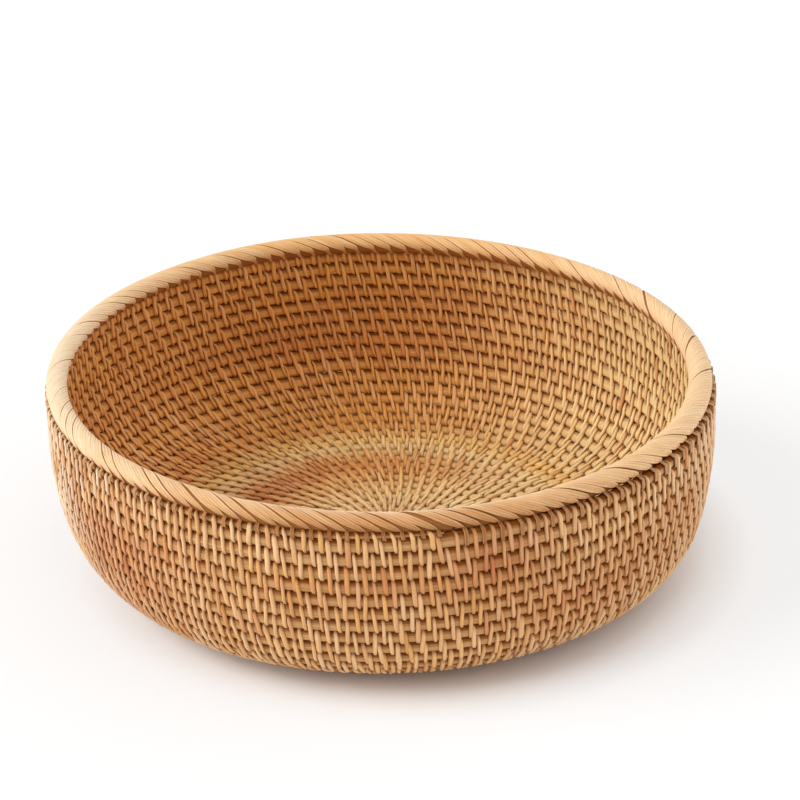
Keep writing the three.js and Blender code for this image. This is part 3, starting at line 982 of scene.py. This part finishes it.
def fibres(shades, stretch, fineness):
    """Noise drawn out along a strip: slow along it and quick across it, per metre"""
    along, across, tone = map(shades.reading, ("along", "across", "tone"))
    grid = shades.node(
        "ShaderNodeCombineXYZ", {}, {"X": along * stretch, "Y": across * fineness, "Z": tone * 41.0}
    )
    return shades.noise(grid, 1.0, 3.0)


def strip_finish(colours):
    """Split rattan: straw to golden strips with fine fibres, painted shade along the edges and in the
    gaps, painted highlights on the crowns
    """
    shades = Shades("split rattan")
    fibre = fibres(shades, 90.0, 3200.0)
    edge, sunk, inner, pale = map(shades.reading, ("edge", "sunk", "inner", "pale"))
    place = shades.node("ShaderNodeTexCoord", {}, {}, "Object")
    cloud = shades.noise(place, 55.0, 2.0)
    streak = fibres(shades, 25.0, 800.0)
    golden_share = (shades.reading("tone") + inner * 0.30 + (cloud - 0.5) * 0.5 + (streak - 0.5) * 0.9).held()
    # Painted highlight: the crown of each strip, away from its edges and the gaps, takes cream and ivory
    raised = (1.0 - edge * edge) * (1.0 - sunk)
    # Fibres and streaks are grain; the edge term and the gap term are painted shade
    dark = (0.56 - fibre) * 0.9 + (0.47 - streak) * 0.7 + edge * edge * 0.10 + sunk * 0.75
    base = shades.layered(
        colours.straw,
        (golden_share, colours.golden),
        ((raised * pale).held(), colours.cream),
        ((raised * (pale - 0.6) * 1.6).held(), colours.ivory),
        (inner * (0.40 + golden_share * 0.34), colours.amber),
        # Wheat on the inside's lit right side is painted light
        (shades.reading("worn") * (0.3 + raised * 0.7), colours.wheat),
        (shades.reading("gold") * 0.8, colours.gilt),
        ((shades.reading("red") + (cloud - 0.55) * 0.35).held(), colours.russet),
        (dark.held(), colours.dark_fibre_and_shade),
    )
    return shades.finish(base, 0.40 + fibre * 0.25, 0.28, fibre, 0.35, 0.0003)


def cane_finish(colours):
    """Peeled cane core: dull greyish tan with long fibres, and painted shade towards the gaps"""
    shades = Shades("cane core")
    fibre = fibres(shades, 45.0, 2200.0)
    worn = shades.reading("worn")
    place = shades.node("ShaderNodeTexCoord", {}, {}, "Object")
    cloud = shades.noise(place, 70.0, 2.0)
    # Fibres are grain; the gap term is painted shade at the top and foot of each cane
    dark = (0.62 - fibre) * 1.1 + shades.reading("sunk") + 0.05
    base = shades.layered(
        colours.cane,
        ((cloud - 0.2).held(), colours.straw),
        (shades.reading("inner") * 0.72, colours.amber),
        # Wheat on the inside's lit right side is painted light
        (worn * 0.8, colours.wheat),
        (shades.reading("gold"), colours.gilt),
        ((shades.reading("red") * 0.8 + (cloud - 0.6) * 0.4).held(), colours.russet),
        # Dark fibre and painted shade, lessened on the inside's lit right side as painted light
        ((dark * (1.0 - worn * 0.6)).held(), colours.dark_fibre_and_shade),
    )
    return shades.finish(base, 0.62 + fibre * 0.2, 0.08, fibre, 0.5, 0.0003)


def pole_finish(colours):
    """Peeled pole, amber brown, with long fibres"""
    shades = Shades("rim pole cane")
    fibre = fibres(shades, 20.0, 1500.0)
    base = shades.layered(colours.dark_fibre_and_shade, (fibre, colours.pole))
    return shades.finish(base, 0.6 + fibre * 0.2, 0.2, fibre, 0.4, 0.0003)


def floor_finish(colours, sizes):
    """Plain matt studio floor, whose shadow is veiled with white away from the bowl where it is seen"""
    shades = Shades("studio floor")
    matt = shades.node("ShaderNodeBsdfDiffuse", {}, {"Color": opaque(colours.floor)})
    white = shades.node("ShaderNodeEmission", {}, {"Strength": 1.0})
    ends = {0: shades.node("ShaderNodeTexCoord", {}, {}, "Object"), 1: (sizes.veil_shift, 0, 0)}
    away = shades.node("ShaderNodeVectorMath", {"operation": "DISTANCE"}, ends, "Value")
    views = ("Is Camera Ray", "Is Glossy Ray", "Is Transmission Ray")
    seen = sum(shades.node("ShaderNodeLightPath", {}, {}, view) for view in views)
    share = seen.held() * ((away - sizes.veil_start) * (1 / sizes.veil_reach)).held() * sizes.veil
    shown = shades.node("ShaderNodeMixShader", {}, {0: share, 1: matt, 2: white})
    shades.node("ShaderNodeOutputMaterial", {}, {"Surface": shown})
    return shades.material


# Studio


class BASKET_OT_studio(Operator):
    """Make the floor, the lights and the camera"""

    bl_idname = "basket.studio"
    bl_label = "Studio"

    def execute(self, context):
        sizes = context.scene.basket_studio
        self.make_floor(context)
        self.make_lights(context, sizes)
        self.make_camera(context, sizes)
        context.scene.view_settings.view_transform = "Standard"
        return {"FINISHED"}

    def make_floor(self, context):
        half = 6.0  # of the floor's side
        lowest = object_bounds()[0].z
        corners = [(x * half, y * half, lowest) for x, y in ((-1, -1), (1, -1), (1, 1), (-1, 1))]
        mesh = bpy.data.meshes.new("floor")
        mesh.from_pydata(corners, [], [(0, 1, 2, 3)])
        mesh.materials.append(floor_finish(context.scene.basket_finish, context.scene.basket_studio))
        floor = bpy.data.objects.new("floor", mesh)
        context.scene.collection.objects.link(floor)
        floor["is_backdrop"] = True

    def make_lights(self, context, sizes):
        for name in ("key", "fill"):
            lamp = bpy.data.lights.new(name, "SUN")
            lamp.energy = getattr(sizes, name)
            lamp.angle = getattr(sizes, name + "_spread")
            source = bpy.data.objects.new(name, lamp)
            towards = direction(getattr(sizes, name + "_azimuth"), getattr(sizes, name + "_elevation"))
            source.rotation_euler = (-towards).to_track_quat("-Z", "Y").to_euler()
            context.scene.collection.objects.link(source)
        world = bpy.data.worlds.new("studio")
        world.use_nodes = True
        background = world.node_tree.nodes["Background"]
        background.inputs["Color"].default_value = (1.0, 1.0, 1.0, 1.0)
        background.inputs["Strength"].default_value = sizes.sky
        context.scene.world = world

    def make_camera(self, context, sizes):
        lens = bpy.data.cameras.new("camera")
        lens.lens = sizes.lens
        lens.sensor_width = 36.0
        camera = bpy.data.objects.new("camera", lens)
        towards = direction(sizes.azimuth, sizes.elevation)
        level = Vector((0, 0, 1)).cross(towards).normalized()
        upward = towards.cross(level)
        right = level * math.cos(sizes.roll) + upward * math.sin(sizes.roll)
        up = upward * math.cos(sizes.roll) - level * math.sin(sizes.roll)
        pose = Matrix((right, up, towards)).transposed().to_4x4()
        target = Vector((sizes.target_right, 0, sizes.target_height))
        pose.translation = target + towards * sizes.distance
        camera.matrix_world = pose
        context.scene.collection.objects.link(camera)
        context.scene.camera = camera


def direction(azimuth, elevation):
    """Unit vector from the object towards an azimuth and an elevation"""
    level = math.cos(elevation)
    return Vector((level * math.cos(azimuth), level * math.sin(azimuth), math.sin(elevation)))


OPERATORS = (
    BASKET_OT_canes,
    BASKET_OT_binding,
    BASKET_OT_rim_pole,
    BASKET_OT_rim_strips,
    BASKET_OT_studio,
)

GROUPS = {
    "basket_bowl": BowlSizes,
    "basket_cane": CaneSizes,
    "basket_binding": BindingSizes,
    "basket_rim": RimSizes,
    "basket_finish": Finishes,
    "basket_studio": StudioSizes,
}


class BASKET_PT_panel(Panel):
    """Sizes, colours and makers of the basket"""

    bl_idname = "BASKET_PT_panel"
    bl_label = "Rattan basket"
    bl_space_type = "VIEW_3D"
    bl_region_type = "UI"
    bl_category = "Basket"

    def draw(self, context):
        for maker in OPERATORS:
            self.layout.operator(maker.bl_idname)
        for name, group in GROUPS.items():
            box = self.layout.box()
            box.label(text=group.__doc__)
            for key in group.__annotations__:
                box.prop(getattr(context.scene, name), key)


def register():
    for kind in (*GROUPS.values(), *OPERATORS, BASKET_PT_panel):
        bpy.utils.register_class(kind)
    for name, group in GROUPS.items():
        setattr(bpy.types.Scene, name, PointerProperty(type=group))


def unregister():
    for name in GROUPS:
        delattr(bpy.types.Scene, name)
    for kind in (BASKET_PT_panel, *OPERATORS, *GROUPS.values()):
        bpy.utils.unregister_class(kind)


def main():
    register()
    bpy.ops.basket.canes()
    bpy.ops.basket.binding()
    bpy.ops.basket.rim_pole()
    bpy.ops.basket.rim_strips()
    bpy.ops.basket.studio()


if __name__ == "__main__":
    main()
